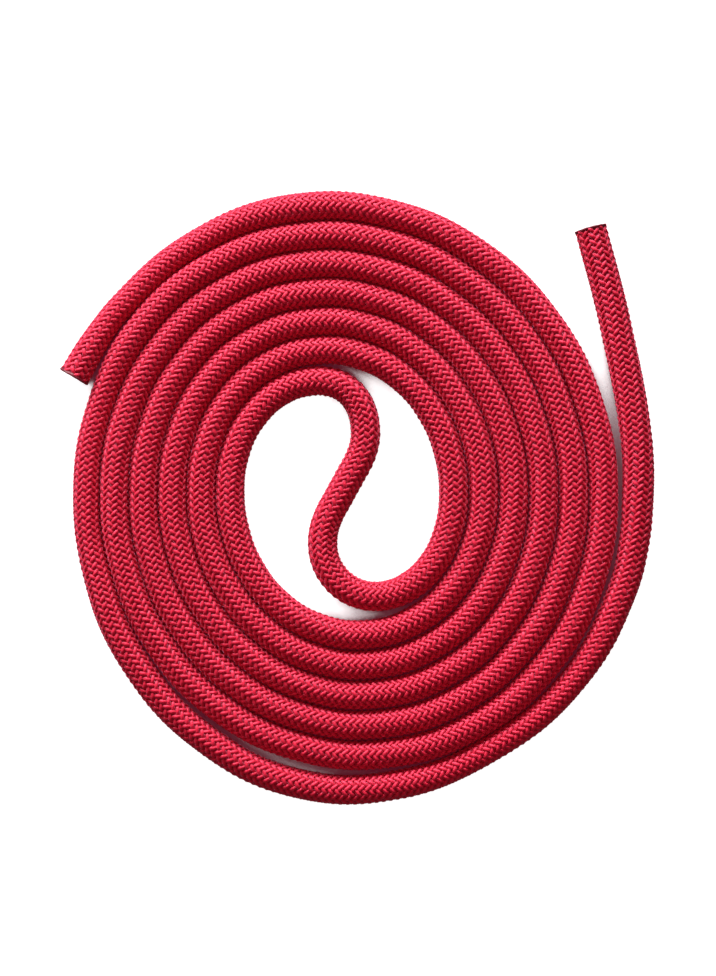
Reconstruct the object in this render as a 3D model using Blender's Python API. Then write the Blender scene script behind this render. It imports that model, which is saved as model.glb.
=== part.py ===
"""Jump rope without handles: 3 m of braided rope, about 10 mm thick, laid down as a flat double coil.

The rope is folded near its middle in a small S.  Its two halves then wind round that S side by side,
in one layer, and stop in two bare, heat-sealed ends: one against the coil, one standing clear of it.
The model is in metres, +Z up, and lies on the plane z = 0, centred on the world's origin.
"""

from math import cos, pi, radians, sin

import bmesh
import bpy
from mathutils import Vector

MM = 0.001

# Rope section
ROPE_FLAT_TO_FLAT = 9.5 * MM
ROPE_SIDES = 8
SHEATH_WALL = 0.85 * MM
CORE_YARN_RADIUS = 1.1 * MM
CORE_YARN_SIDES = 6
CORE_YARN_SPACING = 2.6 * MM
CORE_YARNS_ROUND_CENTRE = 6
CLEARANCE = 0.3 * MM

# Sealed ends
TIP_RADIUS = 4.7 * MM
TIP_LENGTH = 1.2 * MM
TIP_SIDES = 24
TIP_SHARP_EDGE = radians(40)

# Coil: both halves follow one oval, which grows by one pitch for each half turn
COIL_CENTRE = Vector((-5.3, 1.9)) * MM
COIL_RADIUS = 42.6 * MM
COIL_PITCH = 10.5 * MM
OVAL_STRETCH = 3.2 * MM
OVAL_AXIS = radians(107)
SLACK = 0.3 * MM
SLACK_SIDE = radians(-49)
STATION_STEP = 20

# Where each half is on the oval, in degrees from +X, counterclockwise and outwards
LEFT_HALF = (120, 1180)
LEFT_HALF_LAG = 180
RIGHT_HALF = (-40, 860)
RIGHT_HALF_LAG = 0

# Stretches off the oval, in mm from the coil's centre, in the order in which the rope passes them
LEFT_END = (
    (-95.0, 42.0),
    (-87.6, 54.4),
    (-78.3, 66.5),
    (-51.4, 89.1),
)
MIDDLE_S = (
    (-10.5, 39.6),
    (-4.5, 39.3),
    (0.6, 37.4),
    (4.7, 33.6),
    (7.3, 28.6),
    (8.4, 23.0),
    (8.1, 17.2),
    (6.3, 11.8),
    (3.4, 6.4),
    (-1.5, -2.5),
    (-4.6, -8.3),
    (-6.4, -13.8),
    (-6.8, -19.2),
    (-5.9, -24.4),
    (-3.4, -29.3),
    (0.5, -33.4),
    (5.6, -36.2),
    (11.5, -37.3),
    (17.3, -36.6),
    (23.0, -34.3),
)
RIGHT_END = (
    (-86.0, 31.3),
    (-91.2, 0.0),
    (-86.8, -31.5),
    (-72.9, -62.2),
    (-49.3, -87.6),
    (-17.1, -103.7),
    (19.6, -104.5),
    (53.9, -91.1),
    (82.0, -67.9),
    (99.8, -35.9),
    (104.3, -18.3),
    (105.6, -2.9),
    (105.7, 11.4),
    (104.4, 24.9),
    (102.0, 39.3),
    (99.0, 53.5),
    (95.6, 68.6),
    (89.3, 92.2),
)


def oval_point(angle_deg, lag_deg):
    """A point of the coil: how far it is wound out sets its distance from the centre."""
    angle = radians(angle_deg)
    half_turns = (angle_deg - lag_deg) / 180
    pitch = COIL_PITCH + SLACK * cos(angle - SLACK_SIDE)
    oval = COIL_RADIUS + OVAL_STRETCH * cos(2 * (angle - OVAL_AXIS))
    distance = oval + pitch * half_turns
    return Vector((distance * cos(angle), distance * sin(angle)))


def wound_half(span, lag_deg):
    """One half of the rope on the oval, from the middle outwards."""
    first, last = span
    return [oval_point(angle, lag_deg) for angle in range(first, last + 1, STATION_STEP)]


def rope_route():
    """The whole centreline, from the end against the coil to the end that stands clear."""
    left_half = wound_half(LEFT_HALF, LEFT_HALF_LAG)
    right_half = wound_half(RIGHT_HALF, RIGHT_HALF_LAG)
    flat = [Vector(point) * MM for point in LEFT_END]
    flat += reversed(left_half)
    flat += [Vector(point) * MM for point in MIDDLE_S]
    flat += right_half
    flat += [Vector(point) * MM for point in RIGHT_END]
    height = ROPE_FLAT_TO_FLAT / 2
    return [Vector((*(point + COIL_CENTRE), height)) for point in flat]


def beside(route, sideways, up):
    """The route moved sideways and up, square to the rope at each of its points."""
    moved = []
    for index, point in enumerate(route):
        before = route[max(index - 1, 0)]
        after = route[min(index + 1, len(route) - 1)]
        run_in = (point - before).normalized()
        run_out = (after - point).normalized()
        along = (run_in + run_out).normalized()
        side = Vector((-along.y, along.x, 0))
        moved.append(point + side * sideways + Vector((0, 0, up)))
    return moved


def finish(name, colour, roughness):
    """A fibre or plastic material for one sub-part."""
    material = bpy.data.materials.new(name)
    material.use_nodes = True
    shader = material.node_tree.nodes["Principled BSDF"]
    shader.inputs["Base Color"].default_value = (*colour, 1)
    shader.inputs["Roughness"].default_value = roughness
    shader.inputs["Metallic"].default_value = 0
    return material


def round_run(name, route, radius, sides, material, capped):
    """A run of rope or yarn along a route, as a bevelled curve with a flat of its section facing down."""
    curve = bpy.data.curves.new(name, "CURVE")
    curve.dimensions = "3D"
    curve.twist_mode = "Z_UP"
    curve.bevel_depth = radius
    curve.bevel_resolution = sides // 2 - 2
    curve.use_fill_caps = capped
    spline = curve.splines.new("POLY")
    spline.points.add(len(route) - 1)
    for point, place in zip(spline.points, route):
        point.co = (*place, 1)
        point.tilt = pi / sides
    curve.materials.append(material)
    run = bpy.data.objects.new(name, curve)
    bpy.context.collection.objects.link(run)
    return run


def braided_sheath(route):
    """The braid as one tube with a wall, open at both ends."""
    corner_radius = ROPE_FLAT_TO_FLAT / 2 / cos(pi / ROPE_SIDES)
    red_braid = finish("red_braid", (0.58, 0.008, 0.045), 0.62)
    sheath = round_run("braided_sheath", route, corner_radius, ROPE_SIDES, red_braid, capped=False)
    wall = sheath.modifiers.new("Wall", "SOLIDIFY")
    wall.thickness = SHEATH_WALL
    wall.offset = -1
    wall.use_even_offset = True
    return sheath


def core_yarns(route):
    """The filling: one yarn along the middle and six round it, all running the rope's length."""
    core_white = finish("core_white", (0.78, 0.76, 0.72), 0.8)
    round_run("core_yarn_centre", route, CORE_YARN_RADIUS, CORE_YARN_SIDES, core_white, capped=True)
    for number in range(CORE_YARNS_ROUND_CENTRE):
        angle = number * 2 * pi / CORE_YARNS_ROUND_CENTRE
        lane = beside(route, CORE_YARN_SPACING * cos(angle), CORE_YARN_SPACING * sin(angle))
        round_run(f"core_yarn_{number + 1}", lane, CORE_YARN_RADIUS, CORE_YARN_SIDES, core_white, capped=True)


def sealed_tip(name, end, neighbour, material):
    """The thin hard disc into which heat has fused the braid and the yarns at a cut end."""
    outwards = (end - neighbour).normalized()
    mesh = bpy.data.meshes.new(name)
    disc = bmesh.new()
    bmesh.ops.create_cone(
        disc, cap_ends=True, segments=TIP_SIDES, radius1=TIP_RADIUS, radius2=TIP_RADIUS, depth=TIP_LENGTH
    )
    disc.to_mesh(mesh)
    disc.free()
    mesh.shade_smooth()
    mesh.set_sharp_from_angle(angle=TIP_SHARP_EDGE)
    mesh.materials.append(material)
    tip = bpy.data.objects.new(name, mesh)
    tip.location = end + outwards * (CLEARANCE + TIP_LENGTH / 2)
    tip.rotation_euler = outwards.to_track_quat("Z", "Y").to_euler()
    bpy.context.collection.objects.link(tip)


def build():
    for old in list(bpy.data.objects):
        bpy.data.objects.remove(old, do_unlink=True)
    route = rope_route()
    braided_sheath(route)
    core_yarns(route)
    fused_red = finish("fused_red", (0.3, 0.004, 0.02), 0.35)
    sealed_tip("sealed_tip_left", route[0], route[1], fused_red)
    sealed_tip("sealed_tip_right", route[-1], route[-2], fused_red)


build()
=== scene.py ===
"""A jump rope without handles: 3 m of crimson braid, laid down as a flat double coil round a small S."""

from math import atan, cos, pi, radians, sin

import bmesh
import bpy
import numpy as np
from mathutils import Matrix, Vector


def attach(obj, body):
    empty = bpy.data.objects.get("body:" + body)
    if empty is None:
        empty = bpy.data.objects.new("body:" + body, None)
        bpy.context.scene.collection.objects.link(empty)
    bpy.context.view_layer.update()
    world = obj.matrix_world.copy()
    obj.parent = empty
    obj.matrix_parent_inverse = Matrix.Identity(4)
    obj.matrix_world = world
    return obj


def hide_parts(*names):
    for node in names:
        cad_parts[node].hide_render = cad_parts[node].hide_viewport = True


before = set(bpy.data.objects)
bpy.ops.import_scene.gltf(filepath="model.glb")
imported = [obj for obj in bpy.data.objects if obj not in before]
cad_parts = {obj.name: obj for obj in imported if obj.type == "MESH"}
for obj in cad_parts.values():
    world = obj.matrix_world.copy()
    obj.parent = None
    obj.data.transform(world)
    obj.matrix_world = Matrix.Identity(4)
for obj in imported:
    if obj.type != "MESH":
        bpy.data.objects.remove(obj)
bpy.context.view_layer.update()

MM = 0.001


# ---- Camera ----
# The rope is looked at from straight above, with the free end at the top right.
# The lens stands one metre over the rope, so that its sides hardly lean outwards.

CAMERA_HEIGHT = 1.0
ROPE_HEIGHT = 10 * MM
VIEW_CENTRE = Vector((0.5, 3.3, 0)) * MM
VIEW_TALL = 348.6 * MM

lens = bpy.data.cameras.new("camera")
lens.sensor_fit = "VERTICAL"
lens.angle_y = 2 * atan(VIEW_TALL / 2 / CAMERA_HEIGHT)
camera = bpy.data.objects.new("camera", lens)
camera.location = VIEW_CENTRE + Vector((0, 0, ROPE_HEIGHT / 2 + CAMERA_HEIGHT))
bpy.context.collection.objects.link(camera)
bpy.context.scene.camera = camera


# ---- The line of the rope ----
# The rope is folded near its middle in a small S. Its two halves wind round that S side by side in one
# layer: both follow one oval, which grows by one rope's width for each half turn.
# The left half ends against the coil, the right half leaves it and ends on its own.

COIL_CENTRE = Vector((-5.3, 1.9)) * MM
COIL_RADIUS = 42.6 * MM
COIL_PITCH = 10.5 * MM
OVAL_STRETCH = 3.2 * MM
OVAL_AXIS = radians(107)
SLACK = 0.3 * MM
SLACK_SIDE = radians(-49)
STATION_STEP = 20

LEFT_HALF = (120, 1180)
LEFT_HALF_LAG = 180
RIGHT_HALF = (-40, 860)
RIGHT_HALF_LAG = 0

ROPE_DIAMETER = 10.9 * MM
CURVE_STEPS = 24
CUT_PAST_LEFT_END = 0.8 * MM
CUT_PAST_RIGHT_END = 1.7 * MM

LEFT_END = (
    (-95.0, 42.0),
    (-87.6, 54.4),
    (-78.3, 66.5),
    (-51.4, 89.1),
)
MIDDLE_S = (
    (-10.5, 39.6),
    (-4.5, 39.3),
    (0.6, 37.4),
    (4.7, 33.6),
    (7.3, 28.6),
    (8.4, 23.0),
    (8.1, 17.2),
    (6.3, 11.8),
    (3.4, 6.4),
    (-1.5, -2.5),
    (-4.6, -8.3),
    (-6.4, -13.8),
    (-6.8, -19.2),
    (-5.9, -24.4),
    (-3.4, -29.3),
    (0.5, -33.4),
    (5.6, -36.2),
    (11.5, -37.3),
    (17.3, -36.6),
    (23.0, -34.3),
)
RIGHT_END = (
    (-86.0, 31.3),
    (-91.2, 0.0),
    (-86.8, -31.5),
    (-72.9, -62.2),
    (-49.3, -87.6),
    (-17.1, -103.7),
    (19.6, -104.5),
    (53.9, -91.1),
    (82.0, -67.9),
    (99.8, -35.9),
    (104.3, -18.3),
    (105.6, -2.9),
    (105.7, 11.4),
    (104.4, 24.9),
    (102.0, 39.3),
    (99.0, 53.5),
    (95.6, 68.6),
    (89.3, 92.2),
)

# How much thicker than usual the rope is, in mm, at distances in mm from the left end: it is splayed at
# the cuts, pressed thinner where it was pushed up against the coil, and looser along the free end.
SWELL = (
    (0, 0.3), (9, 0.05), (22, -0.45), (64, -0.45), (100, 0), (2600, 0), (2625, -0.5), (2672, -0.5), (2696, 0),
    (2834, 0), (2850, -0.4), (2904, -0.4), (2924, 0), (2948, 0.1), (2972, 0.4), (3071, 0.4),
)


def oval_point(angle_deg, lag_deg):
    """A point of the coil: how far it is wound out sets its distance from the centre."""
    angle = radians(angle_deg)
    half_turns = (angle_deg - lag_deg) / 180
    pitch = COIL_PITCH + SLACK * cos(angle - SLACK_SIDE)
    oval = COIL_RADIUS + OVAL_STRETCH * cos(2 * (angle - OVAL_AXIS))
    distance = oval + pitch * half_turns
    return Vector((distance * cos(angle), distance * sin(angle)))


def wound_half(span, lag_deg):
    """One half of the rope on the oval, from the middle outwards."""
    first, last = span
    return [oval_point(angle, lag_deg) for angle in range(first, last + 1, STATION_STEP)]


def rope_route():
    """The whole centreline, from the end against the coil to the end that stands clear."""
    flat = [Vector(point) * MM for point in LEFT_END]
    flat += reversed(wound_half(LEFT_HALF, LEFT_HALF_LAG))
    flat += [Vector(point) * MM for point in MIDDLE_S]
    flat += wound_half(RIGHT_HALF, RIGHT_HALF_LAG)
    flat += [Vector(point) * MM for point in RIGHT_END]
    return [Vector((*(point + COIL_CENTRE), ROPE_DIAMETER / 2)) for point in flat]


def smooth_line(route):
    """The points of one smooth curve through the route."""
    curve = bpy.data.curves.new("rope_line", "CURVE")
    curve.dimensions = "3D"
    spline = curve.splines.new("BEZIER")
    spline.bezier_points.add(len(route) - 1)
    for knot, place in zip(spline.bezier_points, route):
        knot.co = place
        knot.handle_left_type = knot.handle_right_type = "AUTO"
    spline.resolution_u = CURVE_STEPS
    line = bpy.data.objects.new("rope_line", curve)
    bpy.context.collection.objects.link(line)
    evaluated = line.evaluated_get(bpy.context.evaluated_depsgraph_get())
    points = np.array([vertex.co for vertex in evaluated.to_mesh().vertices])
    evaluated.to_mesh_clear()
    bpy.data.objects.remove(line)
    bpy.data.curves.remove(curve)
    return points


def run_on(points, before, after):
    """The line carried straight on at both ends, to where the rope was cut."""
    out_of_start = points[0] - points[1]
    out_of_end = points[-1] - points[-2]
    start = points[0] + out_of_start / np.linalg.norm(out_of_start) * before
    end = points[-1] + out_of_end / np.linalg.norm(out_of_end) * after
    return np.concatenate([[start], points, [end]])


line_points = run_on(smooth_line(rope_route()), CUT_PAST_LEFT_END, CUT_PAST_RIGHT_END)
line_runs = np.concatenate([[0], np.cumsum(np.linalg.norm(np.diff(line_points, axis=0), axis=1))])
line_length = line_runs[-1]


def swell(along):
    """How much further out than usual the braid lies at these distances from the left end."""
    return np.interp(along / MM, *zip(*SWELL)) * MM


def stations(count):
    """Evenly spaced stations on the rope: how far along, where, and which ways are ahead and left."""
    along = np.linspace(0, line_length, count)
    place = np.stack([np.interp(along, line_runs, line_points[:, axis]) for axis in range(3)], 1)
    place[:, 2] += swell(along)
    ahead = np.gradient(place, axis=0)
    ahead /= np.linalg.norm(ahead, axis=1)[:, None]
    left = np.stack([-ahead[:, 1], ahead[:, 0], 0 * ahead[:, 0]], 1)
    return along, place, ahead, left


# ---- Braid ----
# The sheath is 32 carriers of bright multifilament yarn, 16 wound to the right and 16 to the left.
# Each goes over two and under two of the others, so its floats show as plump slanting grains, in
# sixteen columns round the rope that lean to and fro. Four carriers make one piece here.

CARRIERS_EACH_WAY = 16
CARRIERS_IN_PIECE = 4
PIECES_EACH_WAY = CARRIERS_EACH_WAY // CARRIERS_IN_PIECE
STITCH = 2.43 * MM
LAY = STITCH * CARRIERS_EACH_WAY
RINGS_PER_STITCH = 3
BRAID_RADIUS = 4.5 * MM
WEAVE_DEPTH = 0.45 * MM
WEAVES_PER_TURN = CARRIERS_EACH_WAY / 2
WEAVE_START = pi / 4

YARN_HALF_WIDTH = 0.98 * MM
YARN_HALF_THICKNESS = 0.5 * MM
YARN_SECTION = ((0, -0.9), (-1, -0.1), (-0.62, 0.78), (0, 1.0), (0.62, 0.78), (1, -0.1))
CROWN_BROADENING = 0.04
YARN_OFFSET_MM = 137.0

# The braid creeps round the rope. What wanders does so by a size, over a length of rope.
DRIFT_PER_METRE = radians(500)
DRIFT_WANDER = (radians(9), 90 * MM)
HEIGHT_WANDER = (0.03 * MM, 35 * MM)
WIDTH_WANDER = (0.03 * MM, 25 * MM)
PLACE_WANDER = (radians(0.8), 30 * MM)
WANDER_SEED = 7
UP = np.array([0, 0, 1.0])

# Crimson yarn, between its darker and its lighter filaments: a painted shade colour for down in the weave,
# and a painted highlight colour for the crowns of the floats
WEAVE_SHADE_CRIMSON = ((0.36, 0.001, 0.012, 1), (0.46, 0.003, 0.018, 1))
CROWN_HIGHLIGHT_CRIMSON = ((0.68, 0.012, 0.040, 1), (0.84, 0.024, 0.066, 1))
UNEVEN_DYE = (0.50, 0.003, 0.022, 1)
HIGHLIGHT_ROSE = (1.0, 0.45, 0.7, 1)
SHEEN_ROSE = (1.0, 0.4, 0.62, 1)

ring_count = round(line_length / STITCH * RINGS_PER_STITCH) + 1
along, place, ahead, left = stations(ring_count)
rng = np.random.default_rng(WANDER_SEED)


def wander(size, wavelength):
    """A slow random change along the rope, as a braiding machine leaves it."""
    knots = np.arange(0, line_length + 2 * wavelength, wavelength)
    return np.interp(along, knots, rng.uniform(-size, size, len(knots)))


drift = DRIFT_PER_METRE * along + wander(*DRIFT_WANDER)


def carrier(direction, number):
    """The vertices of one carrier, ring after ring, each with three numbers for the finish.

    They are its place across the yarn, its place along the yarn, and how near it is to the crown of a float.
    """
    turn = direction * 2 * pi * along / LAY + number * 2 * pi / CARRIERS_EACH_WAY
    over = direction * np.cos(WEAVES_PER_TURN * turn - WEAVE_START)
    radius = BRAID_RADIUS + swell(along) + WEAVE_DEPTH * over + wander(*HEIGHT_WANDER)
    half_width = YARN_HALF_WIDTH * (1 + CROWN_BROADENING * over) + wander(*WIDTH_WANDER)
    around = turn + drift + wander(*PLACE_WANDER)
    section = np.array(YARN_SECTION)
    angle = around[:, None] + half_width[:, None] * section[:, 0] / radius[:, None]
    distance = radius[:, None] + YARN_HALF_THICKNESS * section[:, 1]
    outwards = np.cos(angle)[..., None] * left[:, None] + np.sin(angle)[..., None] * UP
    points = (place[:, None] + distance[..., None] * outwards).reshape(-1, 3)
    across = np.broadcast_to(section[:, 0], angle.shape).reshape(-1)
    yarn_run = np.repeat(along / MM + YARN_OFFSET_MM * number, len(YARN_SECTION))
    crown = np.repeat(np.clip(over, 0, 1), len(YARN_SECTION))
    return points, across, yarn_run, crown


def tube_faces(rings, sides, first_vertex):
    """The side faces of a tube whose rings follow one another."""
    ring = np.arange(rings - 1)[:, None] * sides
    here = np.arange(sides)[None]
    beside = (here + 1) % sides
    faces = np.stack([ring + here, ring + beside, ring + sides + beside, ring + sides + here], -1)
    return faces.reshape(-1, 4) + first_vertex


def closed_tube_faces(rings, sides, first_vertex):
    """The faces of a tube that is closed at both ends."""
    lid = np.array([(0, corner, corner + 1, corner + 2) for corner in range(1, sides - 2, 2)])
    last_ring = (rings - 1) * sides
    return np.concatenate([tube_faces(rings, sides, 0), lid[:, ::-1], lid + last_ring]) + first_vertex


def mesh_piece(name, points, faces):
    """A smooth-shaded object made of these points and four-sided faces."""
    mesh = bpy.data.meshes.new(name)
    mesh.vertices.add(len(points))
    mesh.vertices.foreach_set("co", points.astype(np.float32).ravel())
    mesh.loops.add(faces.size)
    mesh.loops.foreach_set("vertex_index", faces.astype(np.int32).ravel())
    mesh.polygons.add(len(faces))
    mesh.polygons.foreach_set("loop_start", np.arange(0, faces.size, 4, dtype=np.int32))
    mesh.update(calc_edges=True)
    mesh.shade_smooth()
    piece = bpy.data.objects.new(name, mesh)
    bpy.context.collection.objects.link(piece)
    return piece


def store(piece, name, values):
    """Keeps one number for each vertex under a name that the material reads."""
    attribute = piece.data.attributes.new(name, "FLOAT", "POINT")
    attribute.data.foreach_set("value", values.astype(np.float32))


class Number:
    """A number that changes over a surface. Arithmetic on it adds Math nodes to its finish."""

    def __init__(self, finish, socket):
        self.finish = finish
        self.socket = socket

    def math(self, operation, first, second):
        return self.finish.node("ShaderNodeMath", {"operation": operation}, {0: first, 1: second})

    def __add__(self, other):
        return self.math("ADD", self, other)

    def __radd__(self, other):
        return self.math("ADD", other, self)

    def __sub__(self, other):
        return self.math("SUBTRACT", self, other)

    def __rsub__(self, other):
        return self.math("SUBTRACT", other, self)

    def __mul__(self, other):
        return self.math("MULTIPLY", self, other)

    def __rmul__(self, other):
        return self.math("MULTIPLY", other, self)


class Finish:
    """A material while it is made. Its node method adds any node but a Math node."""

    def __init__(self, name):
        self.material = bpy.data.materials.new(name)
        self.material.use_nodes = True
        self.tree = self.material.node_tree
        self.tree.nodes.clear()

    def node(self, kind, settings, values, output=0):
        """Adds a node: its settings are made first, then its sockets get their values or links."""
        node = self.tree.nodes.new(kind)
        for setting, value in settings.items():
            setattr(node, setting, value)
        for socket, value in values.items():
            if isinstance(value, Number):
                self.tree.links.new(value.socket, node.inputs[socket])
            else:
                node.inputs[socket].default_value = value
        return Number(self, node.outputs[output])

    def mix(self, factor, first, second):
        """A colour between two, by a factor."""
        return self.node("ShaderNodeMix", {"data_type": "RGBA"}, {0: factor, 6: first, 7: second}, 2)

    def noise(self, vector, scale, detail=2.0, roughness=0.5):
        """Cloudy mottling, finer with a larger scale."""
        grain = {"Scale": scale, "Detail": detail, "Roughness": roughness}
        return self.node("ShaderNodeTexNoise", {}, {"Vector": vector, **grain})

    def surface(self, values):
        """The shader of the finish."""
        shader = self.node("ShaderNodeBsdfPrincipled", {}, values)
        output = self.tree.nodes.new("ShaderNodeOutputMaterial")
        self.tree.links.new(shader.socket, output.inputs["Surface"])


def braid_finish():
    """Crimson multifilament: fine bright filaments along each carrier, a little uneven in dye, painted
    lighter on the crowns of the floats as a highlight and darker down in the weave as shade.
    """
    finish = Finish("crimson_yarn")
    across = finish.node("ShaderNodeAttribute", {"attribute_name": "across"}, {}, "Fac")
    run = finish.node("ShaderNodeAttribute", {"attribute_name": "yarn_run"}, {}, "Fac")
    crown = finish.node("ShaderNodeAttribute", {"attribute_name": "crown"}, {}, "Fac")
    lengthwise = finish.node("ShaderNodeCombineXYZ", {}, {"X": across * 7.0 + run * 1.1, "Y": run * 0.35})
    filaments = finish.noise(lengthwise, 1.0, 3.0, 0.6)
    object_place = finish.node("ShaderNodeTexCoord", {}, {}, "Object")
    dye = finish.noise(object_place, 35.0)
    middle = 1.0 - across * across
    deep = finish.mix(filaments, *WEAVE_SHADE_CRIMSON)
    bright = finish.mix(filaments, *CROWN_HIGHLIGHT_CRIMSON)
    # Painted light: the crowns of the floats, most of all in the middle of each yarn, get the painted
    # highlight colour, and the dips down in the weave get the painted shade colour.
    painted_light_tone = finish.mix(crown * crown * (0.3 + middle * 0.7), deep, bright)
    relief = finish.node("ShaderNodeBump", {}, {"Strength": 0.6, "Distance": 0.04 * MM, "Height": filaments})
    finish.surface({
        "Base Color": finish.mix(dye * 0.3, painted_light_tone, UNEVEN_DYE),
        "Roughness": 0.40 + filaments * 0.22,
        "Normal": relief,
        "Specular IOR Level": 0.7,
        "Specular Tint": HIGHLIGHT_ROSE,
        "Sheen Weight": 0.55,
        "Sheen Roughness": 0.4,
        "Sheen Tint": SHEEN_ROSE,
    })
    return finish.material


crimson_yarn = braid_finish()
for side_name, direction in (("right", 1), ("left", -1)):
    for group in range(PIECES_EACH_WAY):
        strands = [carrier(direction, number) for number in range(group, CARRIERS_EACH_WAY, PIECES_EACH_WAY)]
        points, across, yarn_run, crown = (np.concatenate(parts) for parts in zip(*strands))
        sides = len(YARN_SECTION)
        first_vertices = range(0, len(points), ring_count * sides)
        faces = [closed_tube_faces(ring_count, sides, first_vertex) for first_vertex in first_vertices]
        piece = mesh_piece(f"braid_{side_name}_{group + 1}", points, np.concatenate(faces))
        store(piece, "across", across)
        store(piece, "yarn_run", yarn_run)
        store(piece, "crown", crown)
        piece.data.materials.append(crimson_yarn)
        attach(piece, "root")
        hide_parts("braided_sheath")


# ---- Core ----
# Seven undyed filler yarns run inside the braid, one in the middle and six round it.
# They keep the rope round and give it the weight that makes it swing.

CORE_YARNS = 7
CORE_RADIUS = 1.02 * MM
CORE_SPACING = 2.3 * MM
CORE_APART = pi / 3
CORE_SIDES = 8
CORE_RING_STEP = 4 * MM
UNDYED_WHITE = ((0.60, 0.57, 0.52, 1), (0.84, 0.82, 0.77, 1))


def core_finish():
    """Dull off-white filler yarn with loose filaments along it."""
    finish = Finish("filler_yarn")
    object_place = finish.node("ShaderNodeTexCoord", {}, {}, "Object")
    fibres = finish.noise(object_place, 900.0, 3.0)
    relief = finish.node("ShaderNodeBump", {}, {"Strength": 0.5, "Distance": 0.1 * MM, "Height": fibres})
    finish.surface({
        "Base Color": finish.mix(fibres, *UNDYED_WHITE),
        "Roughness": 0.7 + fibres * 0.2,
        "Normal": relief,
    })
    return finish.material


filler_yarn = core_finish()
_, core_place, _, core_left = stations(round(line_length / CORE_RING_STEP))
core_angle = np.arange(CORE_SIDES) * 2 * pi / CORE_SIDES
for number in range(CORE_YARNS):
    from_middle = 0 if number == 0 else CORE_SPACING
    sideways = from_middle * cos(number * CORE_APART)
    upwards = from_middle * sin(number * CORE_APART)
    lane = core_place + sideways * core_left + upwards * UP
    outwards = np.cos(core_angle)[:, None] * core_left[:, None] + np.sin(core_angle)[:, None] * UP
    points = (lane[:, None] + CORE_RADIUS * outwards).reshape(-1, 3)
    node = "core_yarn_centre" if number == 0 else f"core_yarn_{number}"
    piece = mesh_piece(f"filler_{number}", points, closed_tube_faces(len(lane), CORE_SIDES, 0))
    piece.data.materials.append(filler_yarn)
    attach(piece, "root")
    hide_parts(node)


# ---- Sealed ends ----
# Both ends are cut square with a hot knife. The heat fuses the ends of the yarns into a dark skin, half a
# millimetre thick and as wide as the rope, with a fairly sharp rim.

TIP_SEGMENTS = 96

# Rings of the skin, in mm: how far out along the rope, then how far in from its surface or from its middle
TIP_RIM = ((-1.2, 1.1), (-0.5, 0.35), (-0.15, 0.08), (0.1, 0.02), (0.34, 0.06), (0.46, 0.22), (0.5, 0.55))
TIP_FACE = ((0.44, 3.6), (0.38, 2.4), (0.36, 1.1))

# Unevenness in mm: the strands' ends and the pinch of the knife round the rim, and the waves of the cut
STRAND_BUMP = 0.04
PINCH_BUMP = 0.05
FACE_BUMP_SHARE = 0.4
CUT_WAVE = 0.06
CUT_RIPPLE = 0.03

MELTED_CRIMSON = ((0.10, 0.001, 0.008, 1), (0.30, 0.003, 0.025, 1))
SCORCHED = (0.05, 0.002, 0.006, 1)


def tip_finish():
    """Melted crimson yarn: darker, glassy in places, with the grain of the strands left in it."""
    finish = Finish("melted_yarn")
    object_place = finish.node("ShaderNodeTexCoord", {}, {}, "Object")
    grain = finish.noise(object_place, 1400.0, 4.0, 0.6)
    scorch = finish.noise(object_place, 350.0, 3.0)
    relief = finish.node("ShaderNodeBump", {}, {"Strength": 0.7, "Distance": 0.15 * MM, "Height": grain})
    finish.surface({
        "Base Color": finish.mix(scorch * 0.8, finish.mix(grain, *MELTED_CRIMSON), SCORCHED),
        "Roughness": 0.3 + scorch * 0.35,
        "Normal": relief,
    })
    return finish.material


melted_yarn = tip_finish()


def sealed_tip(name, node, station, outward_sign):
    """One fused end: a lathe of a few rings from inside the braid, over the rim, to the middle of the cut."""
    rope_radius = (ROPE_DIAMETER / 2 + swell(along[station])) / MM
    rings = [(outwards_mm, rope_radius - inset_mm, 1) for outwards_mm, inset_mm in TIP_RIM]
    rings += [(outwards_mm, radius_mm, FACE_BUMP_SHARE) for outwards_mm, radius_mm in TIP_FACE]
    out = outward_sign * ahead[station]
    angle = np.arange(TIP_SEGMENTS) * 2 * pi / TIP_SEGMENTS
    spoke = np.cos(angle)[:, None] * left[station] + np.sin(angle)[:, None] * UP
    bumps = STRAND_BUMP * np.cos(CARRIERS_EACH_WAY * angle) + PINCH_BUMP * np.cos(5 * angle + outward_sign)
    points = []
    for outwards_mm, radius_mm, bump_share in rings:
        radius = (radius_mm + bump_share * bumps) * MM
        waves = CUT_WAVE * np.cos(3 * angle + 2 * outward_sign)
        lift = (outwards_mm + waves + CUT_RIPPLE * np.cos(11 * angle)) * MM
        points.append(place[station] + out * lift[:, None] + radius[:, None] * spoke)
    piece = mesh_piece(name, np.concatenate(points), tube_faces(len(rings), TIP_SEGMENTS, 0))
    shape = bmesh.new()
    shape.from_mesh(piece.data)
    shape.verts.ensure_lookup_table()
    shape.faces.new(shape.verts[:TIP_SEGMENTS])
    shape.faces.new(shape.verts[-TIP_SEGMENTS:])
    bmesh.ops.recalc_face_normals(shape, faces=shape.faces)
    shape.to_mesh(piece.data)
    shape.free()
    piece.data.shade_smooth()
    piece.data.materials.append(melted_yarn)
    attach(piece, "root")
    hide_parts(node)
    return piece


tips = [
    sealed_tip("melted_end_left", "sealed_tip_left", 0, -1),
    sealed_tip("melted_end_right", "sealed_tip_right", -1, 1),
]


# ---- Floor and light ----
# A matt white floor that shines by itself in the open. In the narrow gaps between turns its glow gives way to
# a painted dark maroon shade, reddened as painted light bounced off the rope.
# One wide low lamp beyond the top of the coil lights the far flank of each turn. A large rose-tinted
# lamp overhead keeps the near flanks a deep red, and a faint even light comes from all round.

FLOOR_SIZE = 8
PAPER_WHITE = ((0.40, 0.40, 0.40, 1), (0.44, 0.44, 0.44, 1))
GAP_REACH = 12 * MM
GAP_OPENNESS = 0.29
FULL_OPENNESS = 0.4
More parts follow.
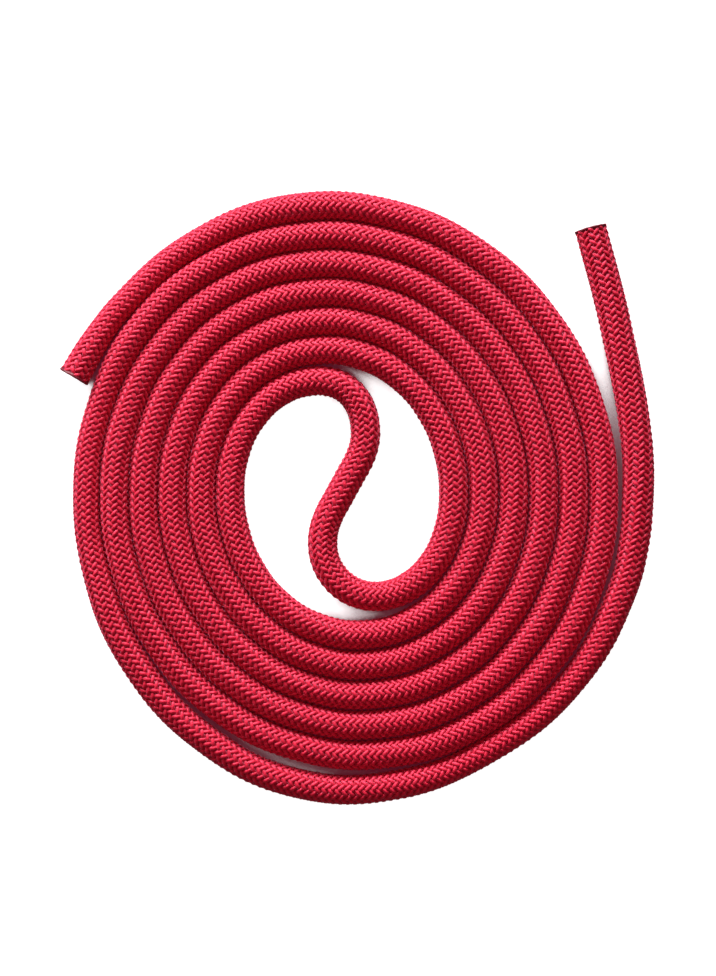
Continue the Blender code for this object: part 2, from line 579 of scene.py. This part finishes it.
# Painted shade for the floor in the narrow gaps, reddened as painted light bounced off the rope.
GAP_PAINTED_SHADE = (0.06, 0.001, 0.008, 1)
OPEN_WHITE = (1, 1, 1, 1)
SKY_STRENGTH = 0.08

bpy.ops.object.select_all(action="DESELECT")
bpy.ops.mesh.primitive_plane_add(size=FLOOR_SIZE)
floor = bpy.context.object
floor.name = "floor"
floor.visible_diffuse = False
floor.visible_glossy = False
paper = Finish("white_floor")
paper_place = paper.node("ShaderNodeTexCoord", {}, {}, "Object")
paper_tone = paper.noise(paper_place, 3.0)
# Painted shade: where rope hems the floor in, the glow fades to the painted gap shade colour.
openness = paper.node("ShaderNodeAmbientOcclusion", {"samples": 16}, {"Distance": GAP_REACH}, "AO")
shine = paper.node(
    "ShaderNodeMapRange",
    {"interpolation_type": "SMOOTHSTEP"},
    {"Value": openness, "From Min": GAP_OPENNESS, "From Max": FULL_OPENNESS},
)
paper.surface({
    "Base Color": paper.mix(paper_tone, *PAPER_WHITE),
    "Roughness": 0.9,
    "Specular IOR Level": 0.0,
    "Emission Color": paper.mix(shine, GAP_PAINTED_SHADE, OPEN_WHITE),
    "Emission Strength": 1.0,
})
floor.data.materials.append(paper.material)


def soft_lamp(name, size, energy, colour, distance, elevation, bearing):
    """A rectangular lamp that faces the coil from this many degrees up and round from +X."""
    lamp = bpy.data.lights.new(name, "AREA")
    lamp.shape = "RECTANGLE"
    lamp.size, lamp.size_y = size
    lamp.energy = energy
    lamp.color = colour
    tilt = radians(elevation)
    turn = radians(bearing)
    aim = Vector((cos(tilt) * cos(turn), cos(tilt) * sin(turn), sin(tilt)))
    stand = bpy.data.objects.new(name, lamp)
    stand.location = aim * distance
    stand.rotation_euler = aim.to_track_quat("Z", "Y").to_euler()
    bpy.context.collection.objects.link(stand)


soft_lamp("key", size=(2.6, 0.4), energy=80, colour=(1, 0.97, 1), distance=1.5, elevation=18, bearing=105)
soft_lamp("ceiling", size=(6, 6), energy=36, colour=(1, 0.10, 0.24), distance=1.6, elevation=90, bearing=0)

sky = bpy.data.worlds.new("sky")
sky.use_nodes = True
background = sky.node_tree.nodes["Background"]
background.inputs["Color"].default_value = (1, 1, 1, 1)
background.inputs["Strength"].default_value = SKY_STRENGTH
bpy.context.scene.world = sky
bpy.context.scene.view_settings.view_transform = "Standard"
